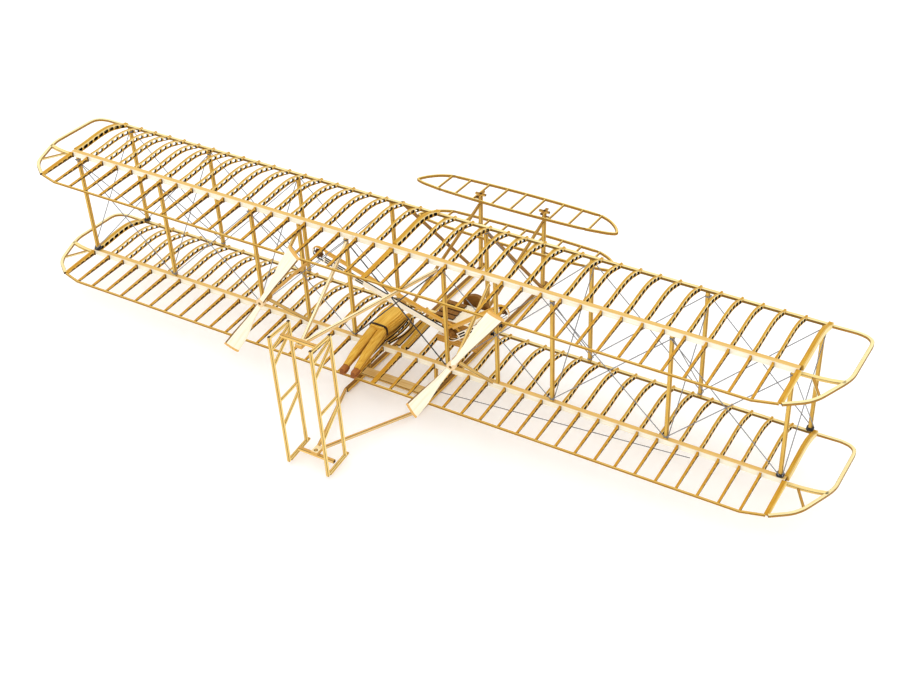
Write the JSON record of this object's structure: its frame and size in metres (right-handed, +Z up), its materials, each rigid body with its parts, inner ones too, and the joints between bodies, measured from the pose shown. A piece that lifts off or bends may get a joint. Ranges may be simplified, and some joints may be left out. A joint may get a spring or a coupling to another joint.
{
  "type": "biplane scale model",
  "caption": "Laser-cut wooden stick-and-rib biplane model on skids, with canard elevator, twin pusher propellers, twin rudder, engine and prone pilot; elevator, rudder and propellers move.",
  "frame": {"origin": "centre of the bounding box on the ground plane under the skids", "axes": "+X along the span towards the left wing, +Y towards the tail, +Z up; the canard elevator points to -Y"},
  "size_m": [0.5116, 0.2528, 0.1056],
  "materials": {
    "balsa": "bare laser-cut sheet, browned edges",
    "strut_wood": "bare square stick",
    "spar_wood": "bare light stick",
    "pale_wood": "bare pale sheet",
    "dark_wood": "stained dark",
    "figure_wood": "bare layered sheet",
    "thread": "twisted dark thread"
  },
  "bodies": {
    "airframe": {"lower_nose_ribs": "balsa", "lower_tail_ribs": "balsa", "lower_tip_left": "balsa", "lower_tip_right": "balsa", "lower_rear_spar": "spar_wood", "upper_nose_ribs": "balsa", "upper_tail_ribs": "balsa", "upper_tip_left": "balsa", "upper_tip_right": "balsa", "upper_rear_spar": "spar_wood", "front_strut_left_1": "strut_wood", "front_strut_left_2": "strut_wood", "front_strut_left_3": "strut_wood", "front_strut_left_4": "strut_wood", "rear_strut_left_1": "strut_wood", "rear_strut_left_2": "strut_wood", "rear_strut_left_3": "strut_wood", "rear_strut_left_4": "strut_wood", "rear_strut_left_5": "strut_wood", "rigging_left": "thread", "skid_left": "balsa", "elevator_post_left": "balsa", "elevator_stay_left": "balsa", "outrigger_left": "balsa", "prop_bracket_left": "balsa", "chain_left": "pale_wood", "front_strut_right_1": "strut_wood", "front_strut_right_2": "strut_wood", "front_strut_right_3": "strut_wood", "front_strut_right_4": "strut_wood", "rear_strut_right_1": "strut_wood", "rear_strut_right_2": "strut_wood", "rear_strut_right_3": "strut_wood", "rear_strut_right_4": "strut_wood", "rear_strut_right_5": "strut_wood", "rigging_right": "thread", "skid_right": "balsa", "elevator_post_right": "balsa", "elevator_stay_right": "balsa", "outrigger_right": "balsa", "prop_bracket_right": "balsa", "chain_right": "pale_wood", "rigging_centre": "thread", "skid_cross_plate": "spar_wood", "boom_upper": "balsa", "boom_lower": "balsa", "engine_block": "pale_wood", "pilot_body": "figure_wood", "pilot_head": "figure_wood"},
    "crank": {"flywheel_crank": "dark_wood"},
    "prop_left_body": {"propeller_left": "pale_wood", "prop_shaft_left": "spar_wood"},
    "prop_right_body": {"propeller_right": "pale_wood", "prop_shaft_right": "spar_wood"},
    "elevator_upper_body": {"elevator_upper": "balsa"},
    "elevator_lower_body": {"elevator_lower": "balsa"},
    "rudder_body": {"rudder_frame_left": "balsa", "rudder_frame_right": "balsa", "rudder_bar_top": "spar_wood", "rudder_bar_bottom": "spar_wood"}
  },
  "joints": [
    {"name": "crank_spin", "type": "hinge", "parent": "airframe", "child": "crank", "pos_m": [-0.028, 0.00005, 0.03869], "axis": [0, 0.9985, -0.0541], "continuous": true},
    {"name": "prop_left_spin", "type": "hinge", "parent": "airframe", "child": "prop_left_body", "pos_m": [0.0613, 0.07058, 0.06141], "axis": [0, 0.9985, -0.0541], "continuous": true},
    {"name": "prop_right_spin", "type": "hinge", "parent": "airframe", "child": "prop_right_body", "pos_m": [-0.0613, 0.07058, 0.06141], "axis": [0, 0.9985, -0.0541], "continuous": true},
    {"name": "elevator_upper_pitch", "type": "hinge", "parent": "airframe", "child": "elevator_upper_body", "pos_m": [0, -0.1061, 0.053], "axis": [1, 0, 0], "range_deg": [-12, 12]},
    {"name": "elevator_lower_pitch", "type": "hinge", "parent": "airframe", "child": "elevator_lower_body", "pos_m": [0, -0.1061, 0.0267], "axis": [1, 0, 0], "range_deg": [-12, 12]},
    {"name": "rudder_yaw", "type": "hinge", "parent": "airframe", "child": "rudder_body", "pos_m": [0, 0.11108, 0.004], "axis": [0, 0.0785, 0.9969], "range_deg": [-25, 25]}
  ],
  "couplings": [
    {"joint": "prop_left_spin", "follows": "crank_spin", "ratio": 0.34783},
    {"joint": "prop_right_spin", "follows": "crank_spin", "ratio": -0.34783},
    {"joint": "elevator_lower_pitch", "follows": "elevator_upper_pitch", "ratio": 1}
  ]
}
